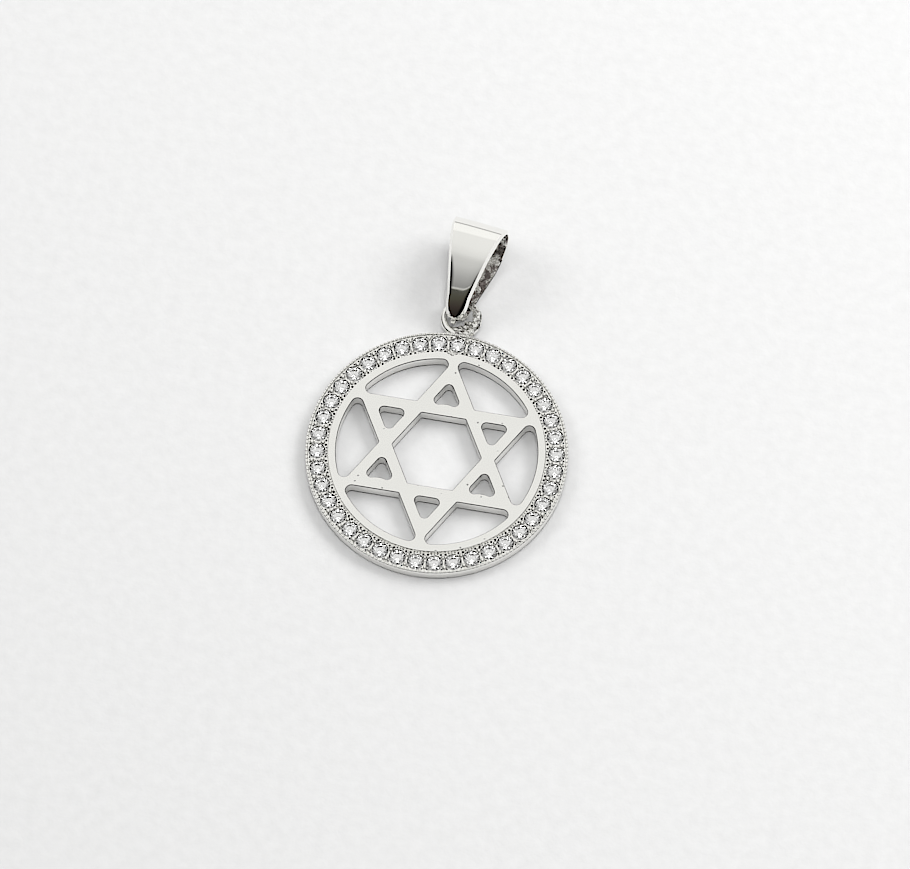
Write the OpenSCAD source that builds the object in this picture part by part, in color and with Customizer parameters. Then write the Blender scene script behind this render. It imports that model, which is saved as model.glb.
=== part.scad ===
// Pierced six-pointed star pendant with a border of small set stones, lying face up.
// The disc, its star and the loop soldered to its edge are one casting. The bail is a tapered
// strap threaded through the loop. Millimetres, +Z up from the table, +Y towards the bail, and
// the origin is under the middle of the whole pendant.

/* [Disc] */
// Outer diameter over the beaded edge
disc_d = 20; // [19:0.25:24]
// Height of the star and the plain ring above the table
disc_t = 1.2; // [1.15:0.05:1.6]
// Height of the sunken border that holds the stones
border_t = 0.92; // [0.9:0.01:1]
// Width of the plain ring between the stones and the star's opening
ring_w = 0.62; // [0.4:0.02:1]
// Thickness of the beaded edge
edge_bead_d = 0.26; // [0.18:0.02:0.3]
// Bevel round the foot of the side wall
foot_bevel = 0.08; // [0.02:0.01:0.2]
// Bevel along the plain ring's outer edge
ring_bevel = 0.06; // [0.02:0.01:0.12]

/* [Star] */
// Width of the star's bars
bar_w = 0.885; // [0.6:0.005:1.1]
// How far the star's points run into the plain ring
point_reach = 0.03; // [0:0.005:0.2]
// Corner radius of the openings beside each point
tip_fillet = 0.45; // [0.2:0.05:0.6]
// Corner radius of those openings at the notch between two points
notch_fillet = 0.15; // [0.05:0.05:0.4]
// Corner radius of the six small triangles
triangle_fillet = 0.36; // [0.1:0.02:0.45]
// Corner radius of the hexagon in the middle
hexagon_fillet = 0.16; // [0.05:0.01:0.6]

/* [Stones] */
// Number of stones round the border
stone_count = 40; // [30:1:40]
// Girdle diameter of a stone
stone_d = 1.2; // [1:0.02:1.24]
// Gap between a stone and its seat
stone_gap = 0.03; // [0.02:0.005:0.05]
// Height of the stones' girdles above the table
girdle_z = 0.8; // [0.75:0.01:0.85]
// Thickness of a stone's girdle
girdle_t = 0.03; // [0.01:0.005:0.05]
// Metal left between the seats and the beaded edge
seat_wall = 0.03; // [0.02:0.01:0.1]
// Diameter of the raised grains that hold the stones
grain_d = 0.28; // [0.2:0.01:0.3]
// How far the grains stand above the border
grain_rise = 0.12; // [0.05:0.01:0.2]
// How far the inner and the outer grains lie from the circle through the stones' centres
grain_offset = 0.43; // [0.4:0.01:0.5]

/* [Loop] */
// Clear diameter of the soldered loop
loop_hole_d = 2.1; // [1.9:0.02:2.6]
// Thickness of the loop's wire
loop_wire_d = 0.55; // [0.4:0.01:0.58]
// Height of the loop's middle above the table
loop_z = 0.7; // [0.66:0.01:0.8]
// How far the loop is let into the disc's edge
loop_sink = 0.18; // [0.1:0.01:0.4]
// Distance that the loop is soldered off the star's axis
loop_shift = -0.14; // [-0.3:0.01:0.3]
// Diameter of the solder under the loop
solder_d = 0.72; // [0.6:0.02:0.8]

/* [Bail] */
// Length of the bail
bail_l = 7.78; // [7:0.02:10]
// Outer thickness of the bail at its wide bend
bail_h = 5.2; // [4.4:0.05:6]
// Outer thickness of the bail at its narrow bend
bail_end_d = 2; // [1.8:0.02:2]
// Thickness of the strap
strap_t = 0.36; // [0.3:0.01:0.38]
// Width of the strap where it is widest, at the wide bend
bail_top_w = 4.5; // [3.5:0.05:6]
// Width of the strap where the wide bend starts
bail_mid_w = 3.62; // [3:0.02:4.4]
// Width of the strap where the narrow bend starts
bail_tip_w = 1.58; // [1.4:0.02:2]
// How far the tip of the front reaches past the middle of the narrow bend
tip_reach = 0.75; // [0.4:0.01:0.8]
// Height above the table where the front's tip begins to overhang the waist
lip_z = 1.3; // [1.2:0.05:1.5]
// How far the rest of the strap keeps its width past the middle of the narrow bend
strap_reach = 0.4; // [0.3:0.01:0.5]
// Width of the strap's waist inside the loop
waist_w = 0.56; // [0.4:0.02:0.6]
// Radius of the strap's gently bulging front
front_r = 14; // [8:0.5:60]
// Turn of the bail from the star's axis, as it lies, in degrees
bail_lean = 7.1; // [0:0.1:9]
// Distance of the bail's narrow bend to the left of the star's axis
bail_shift = 0.57; // [0.1:0.01:0.6]
// Gap between the waist and the loop's wire
bail_gap = 0.05; // [0.04:0.01:0.15]

/* [Hidden] */
$fn = 48;

disc_r = disc_d / 2;
edge_overhang = 0.03;
wall_r = disc_r - edge_overhang;
stone_ring_r = disc_r - edge_bead_d - seat_wall - stone_gap - stone_d / 2;
inner_land = 0.17;
border_r = stone_ring_r - stone_d / 2 - stone_gap - inner_land;
opening_r = border_r - ring_w;

bar_outer = opening_r / 2 + point_reach;
bar_inner = bar_outer - bar_w;
cut_margin = 1;

pavilion_share = 0.43;
crown_share = 0.15;
table_share = 0.56;
star_tip_share = 0.8;
lower_tip_share = 0.25;
stone_tilt = 1.2;
golden_turn = 137.5;
seat_r = stone_d / 2 + stone_gap;
// A seat's cone runs parallel to the stone's pavilion, the gap away from it
pavilion_slope = 2 * pavilion_share;
seat_foot = girdle_t + stone_d * pavilion_share + stone_gap * norm([1, pavilion_slope]);

loop_r = (loop_hole_d + loop_wire_d) / 2;
loop_y = wall_r - loop_sink + loop_r + loop_wire_d / 2;

small_r = bail_end_d / 2;
big_r = bail_h / 2;
span = bail_l - small_r - big_r;
// The waist's left corner meets the loop's inner edge first, at the height of the wire's middle
waist_x = loop_shift + bail_shift + small_r * sin(bail_lean) + waist_w / 2;
waist_drop = sqrt(pow(loop_hole_d / 2, 2) - waist_x * waist_x);
bend_depth = sqrt(small_r * small_r - pow(small_r - loop_z, 2));
bail_y = loop_y - waist_drop + bail_gap + bend_depth;

reach_y = bail_y + (span + big_r) * cos(bail_lean) + bail_top_w / 2 * sin(bail_lean);
middle_y = (reach_y - disc_r) / 2;

function stone_name(k) = str("stone_", k < 9 ? "0" : "", k + 1);
function polar(r, a) = [r * cos(a), r * sin(a)];
function arc(centre, r, from, to, steps) =
    [for (i = [0:steps]) centre + polar(r, from + (to - from) * i / steps)];

// A regular polygon with rounded corners, from the distance of its sides to its middle
module rounded_ngon(sides, apothem, fillet) {
    corner = (apothem - fillet) / cos(180 / sides);
    half = 180 / sides;
    polygon([for (k = [0:sides - 1])
        each arc(polar(corner, k * 360 / sides), fillet, k * 360 / sides - half, k * 360 / sides + half, 6)]);
}

// One opening between two points of the star, drawn round the X axis: the ring's inside is
// its far side, and the star's two outer lines meet at its notch
module segment_opening() {
    along = sqrt(pow(opening_r - tip_fillet, 2) - pow(bar_outer + tip_fillet, 2));
    tip = polar(bar_outer + tip_fillet, -30) + polar(along, 60);
    tip_angle = atan2(tip[1], tip[0]);
    notch = [(bar_outer + notch_fillet) / cos(30), 0];
    polygon(concat(
        arc([0, 0], opening_r, -tip_angle, tip_angle, 24),
        arc(tip, tip_fillet, tip_angle, 150, 10),
        arc(notch, notch_fillet, 150, 210, 4),
        arc([tip[0], -tip[1]], tip_fillet, 210, 360 - tip_angle, 10)
    ));
}

module star_openings() {
    translate([0, 0, -cut_margin]) linear_extrude(disc_t + 2 * cut_margin) {
        rounded_ngon(6, bar_inner, hexagon_fillet);
        for (k = [0:5]) {
            rotate(60 * k) segment_opening();
            rotate(60 * k + 30) small_triangle();
        }
    }
}

module small_triangle() {
    inradius = (2 * bar_inner - bar_outer) / 3;
    translate([bar_outer + inradius, 0]) rounded_ngon(3, inradius, triangle_fillet);
}

// The round blank: a flat back, a side wall, the sunken border, the plain ring and the star's face
module blank() {
    rotate_extrude() {
        polygon([
            [0, 0],
            [wall_r - foot_bevel, 0],
            [wall_r, foot_bevel],
            [wall_r, border_t],
            [border_r, border_t],
            [border_r, disc_t - ring_bevel],
            [border_r - ring_bevel, disc_t],
            [0, disc_t]
        ]);
        translate([disc_r - edge_bead_d / 2, border_t]) circle(d = edge_bead_d);
    }
}

module at_stone(k) {
    rotate(90 + k * 360 / stone_count) translate([stone_ring_r, 0, girdle_z]) children();
}

module stone_seat() {
    rotate_extrude()
        polygon([[0, -seat_foot], [seat_r, seat_r * pavilion_slope - seat_foot], [seat_r, disc_t], [0, disc_t]]);
}

// A pair of grains stands between each two stones, one at the inner and one at the outer side
module grains() {
    pin_h = border_t + grain_rise - grain_d / 2 - girdle_z;
    for (k = [0:stone_count - 1], side = [-1, 1])
        rotate(90 + (k + 0.5) * 360 / stone_count)
            translate([stone_ring_r + side * grain_offset, 0, girdle_z]) {
                cylinder(d = grain_d, h = pin_h);
                translate([0, 0, pin_h]) sphere(d = grain_d);
            }
}

module loop() {
    translate([loop_shift, loop_y, loop_z])
        rotate_extrude() translate([loop_r, 0]) circle(d = loop_wire_d);
    translate([loop_shift, wall_r - loop_sink / 2, loop_z - loop_wire_d / 8]) sphere(d = solder_d);
}

module medallion() {
    color("gainsboro") translate([0, -middle_y, 0]) {
        difference() {
            union() {
                blank();
                loop();
            }
            star_openings();
            for (k = [0:stone_count - 1]) at_stone(k) stone_seat();
        }
        grains();
    }
}

// The bail's side view is a teardrop lying on the table: two bends, a flat back and a front on a
// large arc. The front runs smoothly into the wide bend and breaks off at its tip, from which the
// waist drops straight to the narrow bend. Inset by the strap's thickness, the same outline is
// its inside.
module teardrop(inset) {
    narrow = [0, small_r];
    wide = [span, big_r];
    lift = atan2(big_r - small_r, span);
    chord = norm(wide - narrow);
    to_narrow = front_r - small_r;
    to_wide = front_r - big_r;
    sweep = acos((pow(to_narrow, 2) + pow(chord, 2) - pow(to_wide, 2)) / (2 * to_narrow * chord));
    hub = narrow + polar(to_narrow, lift - sweep);
    narrow_angle = 180 + lift - sweep;
    tip_angle = min(narrow_angle, acos((-tip_reach - hub[0]) / front_r));
    wide_angle = atan2(wide[1] - hub[1], wide[0] - hub[0]);
    polygon(concat(
        arc(narrow, small_r - inset, 270, 180, 12),
        arc(hub, front_r - inset, tip_angle, wide_angle, 8),
        arc(wide, big_r - inset, wide_angle, -90, 32)
    ));
}

// The strap's outline seen from above: a waist in the loop, a rounded tip, a taper up to the wide
// bend and a slower one round it
module bail_outline(reach) {
    tip_end = 0.45 * small_r;
    far = span + big_r;
    taper = (bail_mid_w - bail_tip_w) / 2 / span;
    flare = (bail_top_w - bail_mid_w) / 2 / big_r;
    tip_half = bail_tip_w / 2 + taper * tip_end;
    steps = 8;
    side = concat(
        [for (i = [0:steps])
            let (a = 90 * i / steps)
            [tip_end - (reach + tip_end) * cos(a), waist_w / 2 + (tip_half - waist_w / 2) * sin(a)]],
        [[span, bail_mid_w / 2], [far + cut_margin, bail_top_w / 2 + flare * cut_margin]]
    );
    mirrored = [for (i = [len(side) - 1:-1:0]) [side[i][0], -side[i][1]]];
    start = [[-small_r - cut_margin, waist_w / 2]];
    polygon(concat([[start[0][0], -start[0][1]]], start, side, mirrored));
}

module bail() {
    color("silver") translate([-bail_shift, bail_y - middle_y, 0]) rotate(90 - bail_lean)
        intersection() {
            rotate([90, 0, 0]) translate([0, 0, -bail_top_w])
                linear_extrude(2 * bail_top_w) difference() {
                    teardrop(0);
                    teardrop(strap_t);
                }
            union() {
                translate([0, 0, -cut_margin])
                    linear_extrude(bail_h + 2 * cut_margin) bail_outline(strap_reach);
                translate([0, 0, lip_z]) linear_extrude(bail_h) bail_outline(tip_reach);
            }
        }
}

// A round brilliant with its girdle's upper edge at z = 0: the table, 8 star facets, 8 kites and
// 16 upper halves above the girdle, and 16 lower halves and 8 mains below it
module brilliant() {
    r = stone_d / 2;
    crown = stone_d * crown_share;
    pavilion = stone_d * pavilion_share;
    table_r = r * table_share;
    star_r = r * star_tip_share;
    star_z = crown * (r - star_r * cos(22.5)) / (r - table_r);
    low_r = r * lower_tip_share;
    low_z = -pavilion * (1 - low_r * cos(22.5) / r) - girdle_t;
    table = [for (k = [0:7]) concat(polar(table_r, 45 * k), crown)];
    stars = [for (k = [0:7]) concat(polar(star_r, 45 * k + 22.5), star_z)];
    upper = [for (k = [0:15]) concat(polar(r, 22.5 * k), 0)];
    lower = [for (k = [0:15]) concat(polar(r, 22.5 * k), -girdle_t)];
    lows = [for (k = [0:7]) concat(polar(low_r, 45 * k + 22.5), low_z)];
    culet = [[0, 0, -pavilion - girdle_t]];
    s0 = 8;
    u0 = 16;
    l0 = 32;
    p0 = 48;
    c0 = 56;
    faces = concat(
        [[for (k = [7:-1:0]) k]],
        [for (k = [0:7]) [k, (k + 1) % 8, s0 + k]],
        [for (k = [0:7]) [k, s0 + k, u0 + 2 * k, s0 + (k + 7) % 8]],
        [for (k = [0:7]) [s0 + k, u0 + 2 * k + 1, u0 + 2 * k]],
        [for (k = [0:7]) [s0 + k, u0 + (2 * k + 2) % 16, u0 + 2 * k + 1]],
        [for (k = [0:15]) [u0 + k, u0 + (k + 1) % 16, l0 + (k + 1) % 16, l0 + k]],
        [for (k = [0:7]) [p0 + k, l0 + 2 * k, l0 + 2 * k + 1]],
        [for (k = [0:7]) [p0 + k, l0 + 2 * k + 1, l0 + (2 * k + 2) % 16]],
        [for (k = [0:7]) [c0, p0 + (k + 7) % 8, l0 + 2 * k, p0 + k]]
    );
    polyhedron(points = concat(table, stars, upper, lower, lows, culet), faces = faces);
}

// Each stone is turned and leans a hair its own way, as stones set by hand do
module stone(k) {
    color("azure") translate([0, -middle_y, 0]) at_stone(k)
        rotate(golden_turn * k) rotate([stone_tilt * sin(golden_turn * (k + 1)), 0, 0]) brilliant();
}

medallion();
bail();
for (k = [0:stone_count - 1]) stone(k);
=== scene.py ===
# %% [markdown]
# # A pierced star pendant with a border of small set stones
#
# The real piece is white metal: a cast disc pierced with a six-pointed star, a border of forty
# clear stones held by raised grains, a round loop soldered to the edge and a polished strap, the
# bail, that a chain runs through. The solids of the CAD model fix every size and place. This
# script dresses them: the casting and the bail get the soft edges, grains and beads of finished
# jewellery, and the stones keep their cut and get the optics of a clear stone.

# %% Load the frame
import math
import random

import bmesh
import bpy
from mathutils import Matrix, Vector, noise


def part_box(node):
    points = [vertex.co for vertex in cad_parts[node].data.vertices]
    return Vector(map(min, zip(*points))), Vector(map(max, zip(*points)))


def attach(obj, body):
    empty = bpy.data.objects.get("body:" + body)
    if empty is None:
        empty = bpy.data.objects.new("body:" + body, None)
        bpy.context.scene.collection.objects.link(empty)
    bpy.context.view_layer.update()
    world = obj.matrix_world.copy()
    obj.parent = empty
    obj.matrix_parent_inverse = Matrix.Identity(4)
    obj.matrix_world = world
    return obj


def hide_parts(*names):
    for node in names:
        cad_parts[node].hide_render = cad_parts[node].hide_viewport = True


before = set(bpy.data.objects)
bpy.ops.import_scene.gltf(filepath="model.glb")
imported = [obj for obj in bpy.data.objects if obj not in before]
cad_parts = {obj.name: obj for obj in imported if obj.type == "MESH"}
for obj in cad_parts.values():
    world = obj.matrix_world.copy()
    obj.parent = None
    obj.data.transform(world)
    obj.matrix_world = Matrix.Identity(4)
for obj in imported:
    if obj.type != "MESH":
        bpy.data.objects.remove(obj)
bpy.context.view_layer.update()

# %% [markdown]
# A jeweller measures in millimetres and Blender in metres. Every piece below is drawn in
# millimetres round the middle of the disc, at the table's height, and moved to its place in the
# frame as the last step, so that the numbers stay easy to read.

# %% Measures
MM = 0.001
disc_low, disc_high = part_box("medallion")
DISC_R = (disc_high.x - disc_low.x) / 2 / MM
DISC_CENTRE = Vector((0, disc_low.y + DISC_R * MM, 0))

DISC_T = 1.2
BORDER_T = 0.92
WALL_R = 9.97
BORDER_R = 8.28
OPENING_R = 7.66
BAR_OUTER = 3.86
BAR_INNER = 2.975
print("disc radius", round(DISC_R, 3), "mm, centre", tuple(DISC_CENTRE))


# %% [markdown]
# All outlines on the pendant are straight lines joined by arcs. Two small helpers draw them. A
# ring of edges is then pulled into a wall by extruding it and moving each copied corner to its
# new place, which keeps the faces regular and lets one ring follow any profile.

# %% Helpers for outlines and rings
def polar(radius, angle):
    """A point on the table, with the angle in degrees."""
    turn = math.radians(angle)
    return Vector((radius * math.cos(turn), radius * math.sin(turn), 0))


def arc(centre, radius, start, end, steps):
    """Points along an arc, both ends included."""
    return [centre + polar(radius, start + (end - start) * i / steps) for i in range(steps + 1)]


def distinct(points):
    """The points without those that repeat the one before."""
    return [p for i, p in enumerate(points) if (p - points[i - 1]).length > 1e-4]


def turned(points, angle):
    """The points turned about the middle of the disc."""
    turn = Matrix.Rotation(math.radians(angle), 3, "Z")
    return [turn @ p for p in points]


def at_height(points, z):
    return [Vector((p.x, p.y, z)) for p in points]


def ring_edges(bm, corners):
    return [bm.edges.get(pair) for pair in zip(corners, corners[1:] + corners[:1])]


def draw_ring(bm, points):
    """Draws a closed ring of edges and gives its corners in order."""
    corners = [bm.verts.new(p) for p in points]
    for pair in zip(corners, corners[1:] + corners[:1]):
        bm.edges.new(pair)
    return corners


def pull_ring(bm, corners, points, slot=0):
    """Extrudes a ring and moves the copy of each corner to its point."""
    made = bmesh.ops.extrude_edge_only(bm, edges=ring_edges(bm, corners))["geom"]
    fresh = {v for v in made if isinstance(v, bmesh.types.BMVert)}
    for face in made:
        if isinstance(face, bmesh.types.BMFace):
            face.material_index = slot
    copies = []
    for corner, point in zip(corners, points):
        copy = next(e.other_vert(corner) for e in corner.link_edges if e.other_vert(corner) in fresh)
        copy.co = point
        copies.append(copy)
    return copies


def fill_between(bm, rings, slot=0):
    """Fills the flat area between closed rings with triangles."""
    edges = [edge for ring in rings for edge in ring_edges(bm, ring)]
    made = bmesh.ops.triangle_fill(bm, edges=edges, use_beauty=True, normal=(0, 0, 1))["geom"]
    for face in made:
        if isinstance(face, bmesh.types.BMFace):
            face.material_index = slot


# %% [markdown]
# A finished piece gets its normals turned outwards, sharp edges where two faces meet at more than
# a given angle, and its place in the mesh itself, so that its object can stay at the origin.

# %% Helper that finishes a piece
def finish_piece(bm, name, materials, sharp_angle=30, flat_rings=()):
    """Turns a bmesh drawn in millimetres into a piece that rides on the pendant."""
    bmesh.ops.recalc_face_normals(bm, faces=bm.faces)
    for face in bm.faces:
        face.smooth = True
    for edge in bm.edges:
        edge.smooth = edge.calc_face_angle(0) < math.radians(sharp_angle)
    for ring in flat_rings:
        for edge in ring_edges(bm, ring):
            edge.smooth = False
    open_edges = sum(1 for edge in bm.edges if not edge.is_manifold)
    bmesh.ops.scale(bm, vec=(MM, MM, MM), verts=bm.verts)
    bmesh.ops.translate(bm, vec=DISC_CENTRE, verts=bm.verts)
    mesh = bpy.data.meshes.new(name)
    bm.to_mesh(mesh)
    bm.free()
    for material in materials:
        mesh.materials.append(material)
    piece = bpy.data.objects.new(name, mesh)
    bpy.context.scene.collection.objects.link(piece)
    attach(piece, "root")
    print(name, "faces:", len(mesh.polygons), "open edges:", open_edges)
    return piece


# %% [markdown]
# The metal is rhodium-plated silver, or steel polished to the same white. It is a mirror with a
# slight warmth. What makes it look cast and handled is small: a roughness that wanders, a fine
# unevenness, darker patches and a few pin-prick pits. Inside the strap those darker patches are
# painted shade. All of it comes from noise in the piece's own coordinates, so nothing slides over the
# surface.

# %% Helper for the metals
def add_node(tree, kind, **settings):
    node = tree.nodes.new(kind)
    for key, value in settings.items():
        setattr(node, key, value)
    return node


PATCH_MM = 2.4
PIT_SPACING_MM = 0.85
PIT_DEPTH_MM = 0.05
PALE = 0.95


def polished_metal(name, colour, rough_low, rough_high, grain_mm, bump_mm, pits=0.0, dark_patches=None):
    """White metal with a wandering gloss, fine bumps and, if asked for, pits or darker patches.

    Pits is their width as a share of their spacing. Darker patches are given as their colour, their
    size in mm and the noise levels where they end and where the bright metal begins; on the strap's
    inside they are painted shade.
    """
    material = bpy.data.materials.new(name)
    material.use_nodes = True
    tree = material.node_tree
    shader = tree.nodes["Principled BSDF"]
    shader.inputs["Metallic"].default_value = 1.0
    place = add_node(tree, "ShaderNodeTexCoord")
    broad = add_node(tree, "ShaderNodeTexNoise")
    broad.inputs["Scale"].default_value = 1 / (PATCH_MM * MM)
    broad.inputs["Detail"].default_value = 4.0
    tint = add_node(tree, "ShaderNodeMix", data_type="RGBA")
    tint.inputs["A"].default_value = (*[c * PALE for c in colour], 1)
    tint.inputs["B"].default_value = (*colour, 1)
    gloss = add_node(tree, "ShaderNodeMapRange")
    gloss.inputs["From Min"].default_value = 0.3
    gloss.inputs["From Max"].default_value = 0.7
    gloss.inputs["To Min"].default_value = rough_low
    gloss.inputs["To Max"].default_value = rough_high
    fine = add_node(tree, "ShaderNodeTexNoise")
    fine.inputs["Scale"].default_value = 1 / (grain_mm * MM)
    fine.inputs["Detail"].default_value = 3.0
    bump = add_node(tree, "ShaderNodeBump")
    bump.inputs["Strength"].default_value = 1.0
    bump.inputs["Distance"].default_value = bump_mm * MM
    link = tree.links.new
    for texture in (broad, fine):
        link(place.outputs["Object"], texture.inputs["Vector"])
    link(broad.outputs["Fac"], tint.inputs["Factor"])
    # Darker patches; the ones on the strap's inside are painted shade
    if dark_patches:
        patch_colour, patch_mm, low, high = dark_patches
        tint.inputs["A"].default_value = (*patch_colour, 1)
        broad.inputs["Scale"].default_value = 1 / (patch_mm * MM)
        patch = add_node(tree, "ShaderNodeMapRange", interpolation_type="SMOOTHSTEP")
        patch.inputs["From Min"].default_value = low
        patch.inputs["From Max"].default_value = high
        link(broad.outputs["Fac"], patch.inputs["Value"])
        link(patch.outputs["Result"], tint.inputs["Factor"])
    link(broad.outputs["Fac"], gloss.inputs["Value"])
    link(tint.outputs["Result"], shader.inputs["Base Color"])
    link(gloss.outputs["Result"], shader.inputs["Roughness"])
    link(fine.outputs["Fac"], bump.inputs["Height"])
    link(bump.outputs["Normal"], shader.inputs["Normal"])
    if pits:
        dots = add_node(tree, "ShaderNodeTexVoronoi")
        dots.inputs["Scale"].default_value = 1 / (PIT_SPACING_MM * MM)
        dip = add_node(tree, "ShaderNodeMapRange", interpolation_type="SMOOTHSTEP")
        dip.inputs["From Max"].default_value = pits
        pitted = add_node(tree, "ShaderNodeBump")
        pitted.inputs["Strength"].default_value = 1.0
        pitted.inputs["Distance"].default_value = PIT_DEPTH_MM * MM
        link(place.outputs["Object"], dots.inputs["Vector"])
        link(dots.outputs["Distance"], dip.inputs["Value"])
        link(dip.outputs["Result"], pitted.inputs["Height"])
        link(bump.outputs["Normal"], pitted.inputs["Normal"])
        link(pitted.outputs["Normal"], shader.inputs["Normal"])
    return material


# %% [markdown]
# Nine finishes share that recipe. The face and the strap are polished smooth, the border is cut and
# has darker flecks, and the solder was never polished. The strap's inside is rough with dark patches
# of painted shade, the walls of the openings are a little darker than the face as painted shade, and
# the pits and the thin lines along the openings are dark with painted shade.

# %% The metals
WHITE_METAL = (0.93, 0.925, 0.895)
face_metal = polished_metal("Polished face", WHITE_METAL, 0.10, 0.20, 0.35, 0.0012, pits=0.1)
cut_metal = polished_metal(
    "Bright cut border", WHITE_METAL, 0.10, 0.20, 0.15, 0.04,
    dark_patches=((0.50, 0.495, 0.48), 0.2, 0.37, 0.43))
bead_metal = polished_metal("Raised beads", WHITE_METAL, 0.05, 0.10, 0.16, 0.005)
strap_metal = polished_metal("Polished strap", WHITE_METAL, 0.03, 0.06, 1.6, 0.0012)
rough_metal = polished_metal(
    "Unpolished metal", WHITE_METAL, 0.10, 0.20, 0.25, 0.075,
    dark_patches=((0.32, 0.31, 0.295), 0.35, 0.40, 0.47))
# Its dark patches are painted shade on the strap's inside
inside_shade_metal = polished_metal(
    "Strap's inside", WHITE_METAL, 0.12, 0.25, 0.35, 0.12,
    dark_patches=((0.27, 0.24, 0.23), 0.6, 0.44, 0.52))
# A little darker than the face's metal, which is painted shade
shaded_wall_metal = polished_metal("Walls of the openings", (0.88, 0.875, 0.85), 0.10, 0.20, 0.4, 0.02)
seat_metal = polished_metal("Stone seats", (0.90, 0.895, 0.88), 0.10, 0.2, 0.2, 0.006)
# Dark metal that is painted shade in the pits, on the edge rounds and at the feet of the walls
painted_shade_metal = polished_metal("Painted shade", (0.24, 0.235, 0.23), 0.25, 0.4, 0.2, 0.004)

# %% [markdown]
# The star is what is left between thirteen openings: a hexagon in the middle, a small triangle in
# each point and six openings between the points, whose far side is the ring. Each outline is a
# function of how far it is grown, so the same call gives the soft edge on the face, the wall and
# the soft edge on the back. Every second small triangle has a side that the file left dented.

# %% Outlines of the openings
TIP_FILLET = 0.45
NOTCH_FILLET = 0.15
TRIANGLE_FILLET = 0.36
HEXAGON_FILLET = 0.16
CORNER_STEPS = 8
DENT = 0.09
DENT_STEPS = 8
LEVEL = 0.001
SHORTEST_SIDE = 0.3


def rounded_polygon(sides, inradius, fillet, grow):
    """A regular polygon with rounded corners, grown outwards."""
    corner = (inradius - fillet) / math.cos(math.pi / sides)
    half = 180 / sides
    points = []
    for k in range(sides):
        middle = k * 360 / sides
        centre = polar(corner, middle)
        points += arc(centre, fillet + grow, middle - half, middle + half, CORNER_STEPS)
    return points


def hexagon(grow):
    return rounded_polygon(6, BAR_INNER, HEXAGON_FILLET, grow)


def dented(points):
    """The outline with its lowest side bent in a little."""
    low = min(p.y for p in points)
    outline = []
    for p, q in zip(points, points[1:] + points[:1]):
        outline.append(p)
        if max(p.y, q.y) < low + LEVEL and (q - p).length > SHORTEST_SIDE:
            for i in range(1, DENT_STEPS):
                dent = DENT * math.sin(math.pi * i / DENT_STEPS)
                outline.append(p.lerp(q, i / DENT_STEPS) + Vector((0, dent, 0)))
    return outline


def small_triangle(k, grow):
    inradius = (2 * BAR_INNER - BAR_OUTER) / 3
    points = rounded_polygon(3, inradius, TRIANGLE_FILLET, grow)
    shift = Vector((BAR_OUTER + inradius, 0, 0))
    points = turned([p + shift for p in points], 60 * k + 30)
    return dented(points) if k % 2 else points


def side_opening(k, grow):
    """The opening between two points of the star."""
    along = math.sqrt((OPENING_R - TIP_FILLET) ** 2 - (BAR_OUTER + TIP_FILLET) ** 2)
    tip = polar(BAR_OUTER + TIP_FILLET, -30) + polar(along, 60)
    tip_angle = math.degrees(math.atan2(tip.y, tip.x))
    low_tip = Vector((tip.x, -tip.y, 0))
    notch = Vector(((BAR_OUTER + NOTCH_FILLET) / math.cos(math.radians(30)), 0, 0))
    points = arc(Vector(), OPENING_R + grow, -tip_angle, tip_angle, 48)
    points += arc(tip, TIP_FILLET + grow, tip_angle, 150, 10)
    points += arc(notch, NOTCH_FILLET + grow, 150, 210, 6)
    points += arc(low_tip, TIP_FILLET + grow, 210, 360 - tip_angle, 10)
    return turned(distinct(points), 60 * k)


openings = [hexagon]
openings += [lambda grow, k=k: small_triangle(k, grow) for k in range(6)]
openings += [lambda grow, k=k: side_opening(k, grow) for k in range(6)]
print("openings:", len(openings), "corners:", sum(len(f(0)) for f in openings))

# %% [markdown]
# The casting starts as the flat face: thirteen rings inside one big ring, filled between. Polishing
# rounds every edge, so each opening's ring is pulled through a quarter round, down its wall and
# through a smaller round at the back. Past its first step the quarter round takes the dark metal, and
# so does the foot of the wall; that metal is painted shade and draws thin lines. The big ring is
# pulled over the plain ring's edge and down to the sunken border.

# %% Face, openings and plain ring
# The fourth slot holds the dark metal of painted shade
FACE, CUT, SEAT, PAINTED_SHADE, WALL = range(5)  # material slots of the disc
EDGE_ROUND = 0.07
BACK_ROUND = 0.06
WALL_FOOT = 0.2
BEVEL_SHARE = 0.3
RING_BEVEL = 0.07
ROUND_STEPS = 4
CIRCLE_STEPS = 240


def circle(radius, z):
    return at_height(arc(Vector(), radius, 0, 360, CIRCLE_STEPS)[:-1], z)


casting = bmesh.new()
face_rings = [draw_ring(casting, at_height(f(EDGE_ROUND), DISC_T)) for f in openings]
rim = draw_ring(casting, circle(BORDER_R - RING_BEVEL, DISC_T))
fill_between(casting, face_rings + [rim])

back_rings = []
for outline, ring in zip(openings, face_rings):
    for i in range(1, ROUND_STEPS + 1):
        bend = math.radians(90 * i / ROUND_STEPS)
        grow = EDGE_ROUND * (1 - math.sin(bend))
        z = DISC_T - EDGE_ROUND * (1 - math.cos(bend))
        # Past its first step the round takes the dark metal, painted shade
        ring = pull_ring(casting, ring, at_height(outline(grow), z), slot=FACE if i == 1 else PAINTED_SHADE)
    ring = pull_ring(casting, ring, at_height(outline(0), WALL_FOOT), slot=WALL)
    # The foot of the wall takes the dark metal, painted shade
    ring = pull_ring(casting, ring, at_height(outline(0), BACK_ROUND), slot=PAINTED_SHADE)
    bevel = BACK_ROUND * BEVEL_SHARE
    ring = pull_ring(casting, ring, at_height(outline(bevel), bevel))
    ring = pull_ring(casting, ring, at_height(outline(BACK_ROUND), 0))
    back_rings.append(ring)

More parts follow.
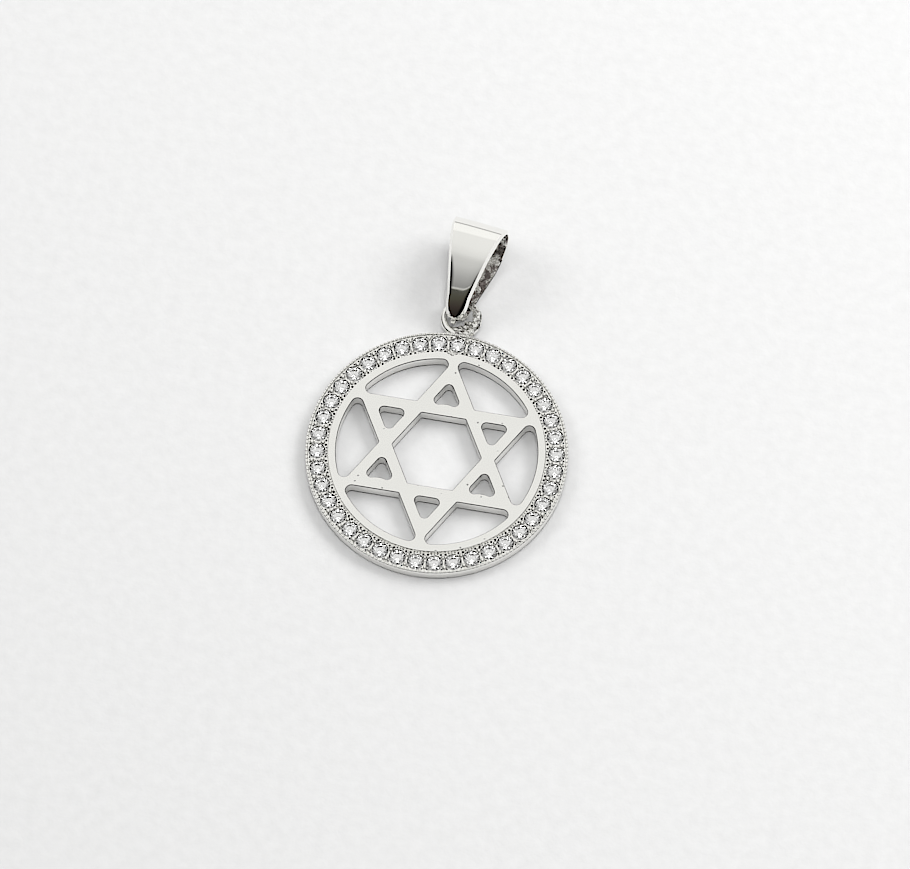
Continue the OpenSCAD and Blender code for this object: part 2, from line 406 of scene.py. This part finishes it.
border_inner = rim
for i in range(1, ROUND_STEPS + 1):
    bend = math.radians(90 * i / ROUND_STEPS)
    radius = BORDER_R - RING_BEVEL * (1 - math.sin(bend))
    z = DISC_T - RING_BEVEL * (1 - math.cos(bend))
    border_inner = pull_ring(casting, border_inner, circle(radius, z))
border_inner = pull_ring(casting, border_inner, circle(BORDER_R, BORDER_T))
print("face and openings:", len(casting.faces), "faces")

# %% [markdown]
# The border is a flat lane with forty round seats. A stone sits in a cone that runs parallel to its
# underside. Round each grain the graver leaves small pits, whose dark metal is painted shade that
# helps to make a set border sparkle black and white. The lane is filled between all those rings at
# once, and each ring is then pulled down to a point.

# %% Border with seats and pits
STONE_COUNT = 40
STONE_RING_R = 9.08
SEAT_R = 0.63
SEAT_LIP = 0.02
SEAT_SHOULDER = 0.756
SEAT_BOTTOM = 0.2144
EDGE_BEAD_R = 0.13
RIDGE_R = 0.09
RIDGE_MIDDLE = DISC_R - EDGE_BEAD_R
PITCH = 360 / STONE_COUNT

# Pits as distance from the middle, angle from the gap's middle line, radius
PITS = [(8.43, 1.2, 0.10), (8.43, -1.2, 0.09), (9.63, 1.25, 0.07), (9.63, -1.25, 0.07),
        (8.36, 2.9, 0.055), (8.36, -2.9, 0.055), (8.35, 4.5, 0.045)]
PIT_DEPTH = 0.16
NEARLY_MET = 0.02
SEAT_STEPS = 32
PIT_STEPS = 8


def sink(bm, ring, centre, z, slot):
    """Closes a ring with a cone that ends in one point."""
    tip = Vector((centre.x, centre.y, z))
    ring = pull_ring(bm, ring, [tip + (v.co - tip) * NEARLY_MET for v in ring], slot)
    for vert in ring:
        vert.co.z = z
    bmesh.ops.pointmerge(bm, verts=ring, merge_co=tip)


border_outer = draw_ring(casting, circle(RIDGE_MIDDLE - RIDGE_R, BORDER_T))
seat_centres = [polar(STONE_RING_R, 90 + PITCH * k) for k in range(STONE_COUNT)]
seat_rings = [
    draw_ring(casting, at_height(arc(c, SEAT_R + SEAT_LIP, 0, 360, SEAT_STEPS)[:-1], BORDER_T))
    for c in seat_centres
]
pit_places = []
for k in range(STONE_COUNT):
    for radius, aside, size in PITS:
        pit_places.append((polar(radius, 90 + PITCH * (k + 0.5) + aside), size))
pit_rings = [
    draw_ring(casting, at_height(arc(c, size, 0, 360, PIT_STEPS)[:-1], BORDER_T))
    for c, size in pit_places
]
fill_between(casting, [border_inner, border_outer] + seat_rings + pit_rings, slot=CUT)

for centre, ring in zip(seat_centres, seat_rings):
    for radius, z in ((SEAT_R, BORDER_T - SEAT_LIP), (SEAT_R, SEAT_SHOULDER)):
        points = at_height(arc(centre, radius, 0, 360, SEAT_STEPS)[:-1], z)
        ring = pull_ring(casting, ring, points, slot=SEAT)
    sink(casting, ring, centre, SEAT_BOTTOM, slot=SEAT)
for (centre, _), ring in zip(pit_places, pit_rings):
    # The pits take the dark metal of painted shade
    sink(casting, ring, centre, BORDER_T - PIT_DEPTH, slot=PAINTED_SHADE)
print("seats:", len(seat_rings), "pits:", len(pit_rings))

# %% [markdown]
# Outside the stones runs a low ridge that carries the beaded edge. Below it the side wall is plain,
# with a small round at its foot, and the back is flat and open in the same thirteen places.

# %% Ridge, side wall and back
FOOT_ROUND = 0.08
edge_ring = border_outer
for bend in range(150, -1, -30):
    offset = polar(RIDGE_R, bend)
    points = circle(RIDGE_MIDDLE + offset.x, BORDER_T + offset.y)
    edge_ring = pull_ring(casting, edge_ring, points)
edge_ring = pull_ring(casting, edge_ring, circle(WALL_R, FOOT_ROUND))
bevel = FOOT_ROUND * BEVEL_SHARE
edge_ring = pull_ring(casting, edge_ring, circle(WALL_R - bevel, bevel))
edge_ring = pull_ring(casting, edge_ring, circle(WALL_R - FOOT_ROUND, 0))
fill_between(casting, back_rings + [edge_ring])

disc = finish_piece(
    casting, "disc", [face_metal, cut_metal, seat_metal, painted_shade_metal, shaded_wall_metal], 30,
    face_rings + [rim, border_inner, border_outer],
)
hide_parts("medallion")

# %% [markdown]
# Two kinds of bead finish the border. Eighty grains were raised from the metal and pressed over the
# stones' edges, a pair between each two stones, and a fine row of beads runs round the outside
# edge. Each is a small sphere, so a ball with few faces is copied to every place.

# %% Grains and edge beads
GRAIN_D = 0.36
GRAIN_OFFSET = 0.41
GRAIN_TOP = 1.06
GRAIN_SIZES = (0.95, 1.35)
GRAIN_ASIDE = 0.05
EDGE_BEAD_COUNT = 198


def add_ball(bm, centre, radius, u_steps, v_steps):
    bmesh.ops.create_uvsphere(
        bm, u_segments=u_steps, v_segments=v_steps, radius=radius,
        matrix=Matrix.Translation(centre))


grains = bmesh.new()
hand = random.Random(7)
for k in range(STONE_COUNT):
    for side in (-1, 1):
        radius = GRAIN_D / 2 * hand.uniform(*GRAIN_SIZES)
        aside = hand.uniform(-GRAIN_ASIDE, GRAIN_ASIDE)
        spot = Vector((STONE_RING_R + side * GRAIN_OFFSET, aside, 0))
        spot = turned([spot], 90 + PITCH * (k + 0.5))[0]
        add_ball(grains, spot + Vector((0, 0, GRAIN_TOP - radius)), radius, 14, 10)
finish_piece(grains, "grains", [bead_metal], 60)

edge_beads = bmesh.new()
for k in range(EDGE_BEAD_COUNT):
    spot = polar(RIDGE_MIDDLE, 360 * k / EDGE_BEAD_COUNT)
    add_ball(edge_beads, spot + Vector((0, 0, BORDER_T)), EDGE_BEAD_R, 8, 6)
finish_piece(edge_beads, "edge_beads", [bead_metal], 60)

# %% [markdown]
# The loop is a ring of round wire that lies flat and is let into the disc's edge. Its section is a
# circle stood on edge and spun once round. The solder that holds it is a ball with smaller drops
# round it. They ran up the loop's right half and into its hole, and three lie on the plain ring. None
# of it was filed smooth, so noise pushes its surface about.

# %% Loop and solder
LOOP_R = 1.325
WIRE_R = 0.275
LOOP_PLACE = Vector((-0.14, 11.39, 0.7))
SOLDER_R = 0.36
ROUGH_FROM = -0.3
NOISE_SEED = 7


def roughen(verts, per_mm, depth):
    """Pushes corners about by noise, with its lumps for each mm and its depth in mm."""
    for vert in verts:
        vert.co += noise.noise_vector(vert.co * per_mm) * depth


# Without a seed the noise would follow the clock
noise.seed_set(NOISE_SEED)
loop = bmesh.new()
bmesh.ops.create_circle(loop, segments=24, radius=WIRE_R)
bmesh.ops.rotate(
    loop, verts=loop.verts, cent=(0, 0, 0), matrix=Matrix.Rotation(math.pi / 2, 3, "X"))
bmesh.ops.translate(loop, verts=loop.verts, vec=(LOOP_R, 0, 0))
bmesh.ops.spin(
    loop, geom=loop.verts[:] + loop.edges[:], cent=(0, 0, 0), axis=(0, 0, 1), angle=math.tau,
    steps=72, use_merge=True)
for face in loop.faces:
    if face.calc_center_median().x > ROUGH_FROM:
        face.material_index = 1
roughen([v for v in loop.verts if v.co.x > ROUGH_FROM], 4, 0.04)
bmesh.ops.translate(loop, verts=loop.verts, vec=LOOP_PLACE)
finish_piece(loop, "loop", [bead_metal, rough_metal], 60)

# Drops as distance beside the loop's middle, distance from the disc's middle, height, radius
SOLDER_DROPS = [(0, 9.88, 0.63, SOLDER_R), (0.42, 9.95, 0.70, 0.30), (-0.40, 9.97, 0.66, 0.28),
                (0.78, 10.05, 0.68, 0.24), (-0.76, 10.0, 0.62, 0.22), (0.14, 10.12, 0.74, 0.28),
                (0.98, 10.42, 0.70, 0.30), (-0.35, 10.2, 0.60, 0.22), (0.55, 10.3, 0.66, 0.26),
                (0.84, 10.62, 0.62, 0.28), (1.08, 11.0, 0.70, 0.26), (1.12, 11.45, 0.66, 0.28),
                (1.02, 11.95, 0.62, 0.24), (0.70, 10.84, 0.45, 0.24), (-0.62, 10.48, 0.50, 0.22),
                (-0.30, 10.44, 0.52, 0.25), (0.05, 10.46, 0.46, 0.26), (0.36, 10.52, 0.50, 0.26),
                (0.42, 10.88, 0.34, 0.22), (0.72, 11.24, 0.36, 0.22), (0.44, 11.28, 0.28, 0.18),
                (0.08, 10.74, 0.40, 0.22), (-0.28, 10.62, 0.38, 0.20), (-0.62, 10.62, 0.36, 0.18),
                (-0.40, 8.24, 1.06, 0.20), (-0.14, 8.14, 1.05, 0.22), (0.16, 8.22, 1.06, 0.20)]
solder = bmesh.new()
for aside, reach, height, radius in SOLDER_DROPS:
    add_ball(solder, Vector((LOOP_PLACE.x + aside, reach, height)), radius, 20, 14)
roughen(solder.verts, 5, 0.06)
finish_piece(solder, "solder", [rough_metal], 60)

# %% [markdown]
# The bail is a strap bent round in a teardrop, wide at the chain's end and narrow where it passes
# the loop. Its section is a flat bar with bevelled outer edges, and it is carried round the
# teardrop in small steps: one ring of corners, extruded and placed again and again until it meets
# its start.

# %% Bail outline
SMALL_R = 1.0
BIG_R = 2.6
SPAN = 4.18
FRONT_R = 14.0
STRAP_T = 0.36
TOP_W = 4.5
MIDDLE_W = 3.62
TIP_W = 1.58
WAIST_W = 0.56
TIP_END = 0.45
LIP_START = -0.75
STRAP_START = -0.4
BAIL_PLACE = Vector((-0.57, 11.7555, 0))
BAIL_LEAN = 7.1


def half_width(along, tip_start):
    """Half the strap's width at a distance along the bail from its narrow bend."""
    taper = (MIDDLE_W - TIP_W) / 2 / SPAN
    if along > SPAN:
        return MIDDLE_W / 2 + (TOP_W - MIDDLE_W) / 2 * (along - SPAN) / BIG_R
    if along >= TIP_END:
        return TIP_W / 2 + taper * along
    share = min(1, (TIP_END - along) / (TIP_END - tip_start))
    tip_half = TIP_W / 2 + taper * TIP_END
    return WAIST_W / 2 + (tip_half - WAIST_W / 2) * math.sqrt(1 - share**2)


def teardrop_stations():
    """Points round the bail's side view, each with the direction that faces out and its tip."""
    narrow = Vector((0, SMALL_R, 0))
    wide = Vector((SPAN, BIG_R, 0))
    lift = math.degrees(math.atan2(BIG_R - SMALL_R, SPAN))
    chord = (wide - narrow).length
    to_narrow = FRONT_R - SMALL_R
    to_wide = FRONT_R - BIG_R
    cosine = (to_narrow**2 + chord**2 - to_wide**2) / (2 * to_narrow * chord)
    sweep = math.degrees(math.acos(cosine))
    hub = narrow + polar(to_narrow, lift - sweep)
    wide_angle = math.degrees(math.atan2(wide.y - hub.y, wide.x - hub.x))

    def bend(centre, radius, start, end, steps, tip_start=LIP_START):
        angles = [start + (end - start) * i / steps for i in range(steps + 1)]
        return [(centre + polar(radius, a), polar(1, a), tip_start) for a in angles]

    def front_angle(along):
        return math.degrees(math.acos((along - hub.x) / FRONT_R))

    stations = bend(narrow, SMALL_R, 270, 180, 20, STRAP_START)
    low, high = stations[-1], bend(hub, FRONT_R, front_angle(LIP_START), wide_angle, 1)[0]
    for i, tip_start in ((1, STRAP_START), (2, STRAP_START), (3, STRAP_START), (4, LIP_START)):
        stations.append((low[0].lerp(high[0], i / 6), low[1].lerp(high[1], i / 6), tip_start))
    for i in range(10):
        along = TIP_END - (TIP_END - LIP_START) * math.cos(math.radians(9 * i))
        stations += bend(hub, FRONT_R, front_angle(along), wide_angle, 1)[:1]
    stations += bend(hub, FRONT_R, front_angle(TIP_END), wide_angle, 20)
    stations += bend(wide, BIG_R, wide_angle, -90, 56)
    for i in list(range(1, 12)) + [11.5]:
        stations.append((Vector((SPAN * (1 - i / 12), 0, 0)), Vector((0, -1, 0)), STRAP_START))
    return [s for i, s in enumerate(stations) if (s[0] - stations[i - 1][0]).length > 1e-4]


# %% [markdown]
# The section's face is crowned: it falls away towards both edges, which is what bends the mirrored
# room into dark wedges there. Its inside is flat and takes a rougher metal whose dark patches are
# painted shade.

# %% Bail
BEVEL_W = 0.19
BEVEL_T = 0.27
CROWN = 0.035
INNER_BEVEL = 0.05
EDGE_SOFT = (0.015, 0.03)
FACE_COLUMNS = (0.35, 0.6, 0.8, 0.92)


def strap_section(point, outward, tip_start):
    """The strap's corners at one station: across the face, round one edge and back inside."""
    def corner(side, inset, depth):
        spot = point - outward * depth
        half = half_width(spot.x, tip_start)
        inset = min(inset, 0.8 * half)
        return Vector((spot.x, side * (half - inset), spot.y))

    half = half_width(point.x, tip_start)
    bevel = min(BEVEL_W, 0.35 * half)
    right = [(half - (half - bevel) * u, CROWN * u**4) for u in FACE_COLUMNS]
    right += [(bevel, CROWN), (EDGE_SOFT[0], BEVEL_T), (0, BEVEL_T + EDGE_SOFT[1]),
              (0, STRAP_T - INNER_BEVEL), (INNER_BEVEL, STRAP_T)]
    centre = Vector((point.x, 0, point.y))
    inside = point - outward * STRAP_T
    section = [centre] + [corner(1, *pair) for pair in right]
    section += [Vector((inside.x, 0, inside.y))] + [corner(-1, *pair) for pair in reversed(right)]
    return section


stations = teardrop_stations()
strap = bmesh.new()
first = draw_ring(strap, strap_section(*stations[0]))
ring = first
middle = len(first) // 2
inner_corners = set(first[middle - 1:middle + 2])
for station in stations[1:]:
    ring = pull_ring(strap, ring, strap_section(*station))
    inner_corners.update(ring[middle - 1:middle + 2])
ring = pull_ring(strap, ring, [v.co.copy() for v in first])
inner_corners.update(ring[middle - 1:middle + 2])
# The inside takes the rough metal whose dark patches are painted shade
for face in strap.faces:
    if inner_corners.issuperset(face.verts):
        face.material_index = 1
bmesh.ops.remove_doubles(strap, verts=first + ring, dist=1e-4)
bmesh.ops.rotate(
    strap, verts=strap.verts, cent=(0, 0, 0),
    matrix=Matrix.Rotation(math.radians(90 - BAIL_LEAN), 3, "Z"))
bmesh.ops.translate(strap, verts=strap.verts, vec=BAIL_PLACE)
bail = finish_piece(strap, "strap", [strap_metal, inside_shade_metal], 12)
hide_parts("bail")

# %% [markdown]
# The forty stones keep the facets that the CAD model cut. A clear stone of this price bends light
# far more than glass does, so its refractive index is set to 2.17. That makes most of the light
# that enters through the top bounce off the underside and come back out in small bright and dark
# patches.

# %% Stones
REFRACTIVE_INDEX = 2.17

clear_stone = bpy.data.materials.new("Clear stone")
clear_stone.use_nodes = True
stone_shader = clear_stone.node_tree.nodes["Principled BSDF"]
stone_shader.inputs["Base Color"].default_value = (1, 1, 1, 1)
stone_shader.inputs["Roughness"].default_value = 0.0
stone_shader.inputs["IOR"].default_value = REFRACTIVE_INDEX
stone_shader.inputs["Transmission Weight"].default_value = 1.0
stones = [node for name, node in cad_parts.items() if name.startswith("stone_")]
for stone in stones:
    stone.data.materials.clear()
    stone.data.materials.append(clear_stone)
print("stones:", len(stones))

# %% [markdown]
# The pendant lies on a sheet of white paper. A fine tooth keeps the sheet from looking like a
# computer's white, and a slow change from one side to the other is painted light, brighter towards
# the right and the far side.

# %% Paper
PAPER_TONES = ((0.51, 0.51, 0.5115), (0.58, 0.58, 0.5815))
TOOTH_MM = 0.9
TOOTH_DEPTH_MM = 0.05
SHEET_HALF = 2.0
# Which way the painted light grows brighter, how many metres out it is reached, and by what share the
# tone changes
PAINTED_LIGHT_SIDE = (0.62, 0.78, 0)
PAINTED_LIGHT_REACH = 0.05
PAINTED_LIGHT_CHANGE = 0.065

paper = bpy.data.materials.new("White paper")
paper.use_nodes = True
tree = paper.node_tree
link = tree.links.new
shader = tree.nodes["Principled BSDF"]
shader.inputs["Roughness"].default_value = 0.9
shader.inputs["Specular IOR Level"].default_value = 0.2
place = add_node(tree, "ShaderNodeTexCoord")
tooth = add_node(tree, "ShaderNodeTexNoise")
tooth.inputs["Scale"].default_value = 1 / (TOOTH_MM * MM)
tooth.inputs["Detail"].default_value = 5.0
tone = add_node(tree, "ShaderNodeMix", data_type="RGBA")
tone.inputs["A"].default_value = (*PAPER_TONES[0], 1)
tone.inputs["B"].default_value = (*PAPER_TONES[1], 1)
bump = add_node(tree, "ShaderNodeBump")
bump.inputs["Distance"].default_value = TOOTH_DEPTH_MM * MM
bump.inputs["Strength"].default_value = 0.6
side = add_node(tree, "ShaderNodeVectorMath", operation="DOT_PRODUCT")
side.inputs[1].default_value = PAINTED_LIGHT_SIDE
# Painted light: the paper's tone is scaled up on one side and down on the other
light = add_node(tree, "ShaderNodeMapRange")
light.inputs["From Min"].default_value = -PAINTED_LIGHT_REACH
light.inputs["From Max"].default_value = PAINTED_LIGHT_REACH
light.inputs["To Min"].default_value = 1 - PAINTED_LIGHT_CHANGE
light.inputs["To Max"].default_value = 1 + PAINTED_LIGHT_CHANGE
lit = add_node(tree, "ShaderNodeVectorMath", operation="SCALE")
link(place.outputs["Object"], side.inputs[0])
link(side.outputs["Value"], light.inputs["Value"])
link(light.outputs["Result"], lit.inputs["Scale"])
link(place.outputs["Object"], tooth.inputs["Vector"])
link(tooth.outputs["Fac"], tone.inputs["Factor"])
link(tone.outputs["Result"], lit.inputs[0])
link(lit.outputs["Vector"], shader.inputs["Base Color"])
link(tooth.outputs["Fac"], bump.inputs["Height"])
link(bump.outputs["Normal"], shader.inputs["Normal"])

sheet_bm = bmesh.new()
bmesh.ops.create_grid(sheet_bm, x_segments=4, y_segments=4, size=SHEET_HALF)
sheet_mesh = bpy.data.meshes.new("paper_sheet")
sheet_bm.to_mesh(sheet_mesh)
sheet_bm.free()
sheet_mesh.materials.append(paper)
sheet = bpy.data.objects.new("paper_sheet", sheet_mesh)
bpy.context.scene.collection.objects.link(sheet)

# %% [markdown]
# The camera looks down at the pendant from three quarters of the way up, from far enough away that
# the circle hardly tapers. The pendant lies a little turned in the picture, so the camera stands
# turned the other way round it.

# %% Camera
ELEVATION = math.radians(66.3)
TURN = math.radians(10.1)
DISTANCE = 650 * MM
PIXELS_PER_MM = 13.18
PICTURE_WIDTH = 910
SENSOR = 36
# The picture's middle, in mm to the right of the disc's middle and above it
ASIDE = 1.386
ABOVE = 1.742

right = Vector((math.cos(TURN), math.sin(TURN), 0))
ahead = Vector((-math.sin(TURN), math.cos(TURN), 0))
to_camera = -ahead * math.cos(ELEVATION) + Vector((0, 0, math.sin(ELEVATION)))
up = ahead * math.sin(ELEVATION) + Vector((0, 0, math.cos(ELEVATION)))
aim = DISC_CENTRE + right * ASIDE * MM + up * ABOVE * MM

camera_data = bpy.data.cameras.new("camera")
camera_data.sensor_width = SENSOR
camera_data.lens = PIXELS_PER_MM * DISTANCE / MM * SENSOR / PICTURE_WIDTH
camera_data.clip_start = 0.01
camera_data.clip_end = 20
camera = bpy.data.objects.new("camera", camera_data)
camera.matrix_world = Matrix.Translation(aim + to_camera * DISTANCE) @ Matrix(
    (right, up, to_camera)).transposed().to_4x4()
bpy.context.scene.collection.objects.link(camera)
bpy.context.scene.camera = camera
print("lens", round(camera_data.lens, 1), "mm")

# %% [markdown]
# Polished metal shows nothing but its surroundings, so the surroundings are the light: a bright,
# even room overhead that fades towards the camera's side and ends in a dark viewer low down there.
# What leans towards the viewer mirrors that dark, which draws the lower half of the bail and the
# edges. Two side walls are dim, and a window stands on the far side.

# %% World
world = bpy.data.worlds.new("room")
bpy.context.scene.world = world
world.use_nodes = True
sky = world.node_tree
background = sky.nodes["Background"]
direction = add_node(sky, "ShaderNodeTexCoord")


def way(azimuth, elevation):
    """A direction, with its azimuth counted from the picture's right, both in degrees."""
    a = math.radians(azimuth)
    e = math.radians(elevation)
    return (right * math.cos(a) + ahead * math.sin(a)) * math.cos(e) + Vector((0, 0, math.sin(e)))


def towards(vector):
    """How far the looked-at direction agrees with a fixed one, from -1 to 1."""
    dot = add_node(sky, "ShaderNodeVectorMath", operation="DOT_PRODUCT")
    dot.inputs[1].default_value = vector
    sky.links.new(direction.outputs["Generated"], dot.inputs[0])
    return dot.outputs["Value"]


def ramp(value, low, high, at_low, at_high):
    """Blends smoothly from one level to the other as value goes from low to high."""
    node = add_node(sky, "ShaderNodeMapRange", interpolation_type="SMOOTHSTEP")
    node.inputs["From Min"].default_value = low
    node.inputs["From Max"].default_value = high
    node.inputs["To Min"].default_value = at_low
    node.inputs["To Max"].default_value = at_high
    sky.links.new(value, node.inputs["Value"])
    return node.outputs["Result"]


def times(a, b):
    node = add_node(sky, "ShaderNodeMath", operation="MULTIPLY")
    sky.links.new(a, node.inputs[0])
    sky.links.new(b, node.inputs[1])
    return node.outputs["Value"]


def colour_by(value, stops):
    """Reads a colour off a few stops, with value going from -1 to 1."""
    share = add_node(sky, "ShaderNodeMapRange")
    share.inputs["From Min"].default_value = -1.0
    share.inputs["From Max"].default_value = 1.0
    sky.links.new(value, share.inputs["Value"])
    node = add_node(sky, "ShaderNodeValToRGB")
    sky.links.new(share.outputs["Result"], node.inputs["Fac"])
    elements = node.color_ramp.elements
    while len(elements) < len(stops):
        elements.new(0.5)
    for element, (spot, colour) in zip(elements, stops):
        element.position = (spot + 1) / 2
        element.color = (*colour, 1)
    return node.outputs["Color"]


PLAIN_LIGHT = (1.0, 1.0, 0.985)
# Stops from the dark low down behind the camera, over the zenith, to the bright far side
ROOM = [(-0.46, 0.02), (-0.34, 0.05), (-0.21, 0.09), (-0.195, 0.7), (-0.18, 0.28), (-0.06, 0.42),
        (0.06, 0.59), (0.37, 0.77), (0.75, 0.86), (1.0, 0.88)]
# The dark part is only as wide as the viewer, and the room beside it is this bright
BESIDE_VIEWER = 0.5
# Where the viewer stands, and the dark corners that the front of the bail mirrors, one at each side
# and one low down
VIEWER = (-114, 18)
CORNERS = ((-146, 30), (-82, 30), (-90, 14))
# Ramps on how far a direction agrees: where they start and end, and the level at each
VIEWER_RAMP = (0.78, 0.90, 0.0, 1.0)
CORNER_RAMP = (0.93, 0.968, 1.0, 0.1)
LOW_RAMP = (0.0, 0.16, 0.4, 1.0)
WINDOW_RAMP = (0.70, 0.80, 1.0, 1.16)
RIGHT_RAMP = (0.50, 0.85, 1.0, 0.2)
LEFT_RAMP = (0.62, 0.90, 1.0, 0.2)
# The dark part is brown at its foot and olive above
TINT = [(-0.40, (1.25, 1.0, 0.86)), (-0.30, (1.16, 1.12, 0.84)), (-0.21, (1.02, 1.02, 0.9)),
        (-0.19, PLAIN_LIGHT)]

far_slope = (ahead + Vector((0, 0, 1))).normalized()
slope = towards(far_slope)
viewer = ramp(towards(way(*VIEWER)), *VIEWER_RAMP)
levels = colour_by(slope, [(spot, (level, level, level)) for spot, level in ROOM])
brighter = add_node(sky, "ShaderNodeMath", operation="MAXIMUM")
sky.links.new(levels, brighter.inputs[0])
sky.links.new(ramp(viewer, 0.0, 1.0, BESIDE_VIEWER, 0.0), brighter.inputs[1])
room = brighter.outputs["Value"]
tint = add_node(sky, "ShaderNodeMix", data_type="RGBA")
tint.inputs["A"].default_value = (*PLAIN_LIGHT, 1)
sky.links.new(viewer, tint.inputs["Factor"])
sky.links.new(colour_by(slope, TINT), tint.inputs["B"])
low_band = ramp(towards((0, 0, 1)), *LOW_RAMP)
window = ramp(towards(ahead), *WINDOW_RAMP)
right_wall = ramp(towards(right), *RIGHT_RAMP)
left_wall = ramp(towards(-right), *LEFT_RAMP)
glow = times(times(room, low_band), times(window, times(right_wall, left_wall)))
for corner in CORNERS:
    glow = times(glow, ramp(towards(way(*corner)), *CORNER_RAMP))
sky.links.new(glow, background.inputs["Strength"])
sky.links.new(tint.outputs["Result"], background.inputs["Color"])

# %% [markdown]
# Soft lamps at both sides throw the two faint shadows, one on the far side darkens the paper under
# the near edge, and one straight above lights the paper inside the openings. The metal mirrors
# none of them, so they only matter to the paper and, apart from the last, to the stones.

# %% Lamps
LAMP_DISTANCE = 900 * MM


def soft_lamp(name, azimuth, elevation, size, power, in_stones=True):
    """A square lamp that faces the pendant, with its size in metres and its power in watts."""
    lamp_way = way(azimuth, elevation)
    data = bpy.data.lights.new(name, "AREA")
    data.size = size
    data.energy = power
    lamp = bpy.data.objects.new(name, data)
    lamp.location = lamp_way * LAMP_DISTANCE
    lamp.rotation_euler = lamp_way.to_track_quat("Z", "Y").to_euler()
    lamp.visible_glossy = False
    lamp.visible_transmission = in_stones
    bpy.context.scene.collection.objects.link(lamp)


soft_lamp("lamp_right", 12, 42, 0.42, 3.1)
soft_lamp("lamp_left", 165, 42, 0.42, 2.4)
soft_lamp("lamp_far", 42, 42, 0.45, 3.0)
soft_lamp("lamp_top", -90, 84, 0.35, 3.2, in_stones=False)
bpy.context.scene.view_settings.view_transform = "Standard"

# %% [markdown]
# A phone sharpens its pictures, which leaves thin light and dark lines along every edge. One
# filter in the compositor gives the render the same bite.

# %% Sharpening
SHARPNESS = 0.07
bpy.context.scene.use_nodes = True
develop = bpy.context.scene.node_tree
develop.nodes.clear()
shot = add_node(develop, "CompositorNodeRLayers")
sharpen = add_node(develop, "CompositorNodeFilter", filter_type="SHARPEN")
sharpen.inputs["Fac"].default_value = SHARPNESS
result = add_node(develop, "CompositorNodeComposite")
develop.links.new(shot.outputs["Image"], sharpen.inputs["Image"])
develop.links.new(sharpen.outputs["Image"], result.inputs["Image"])
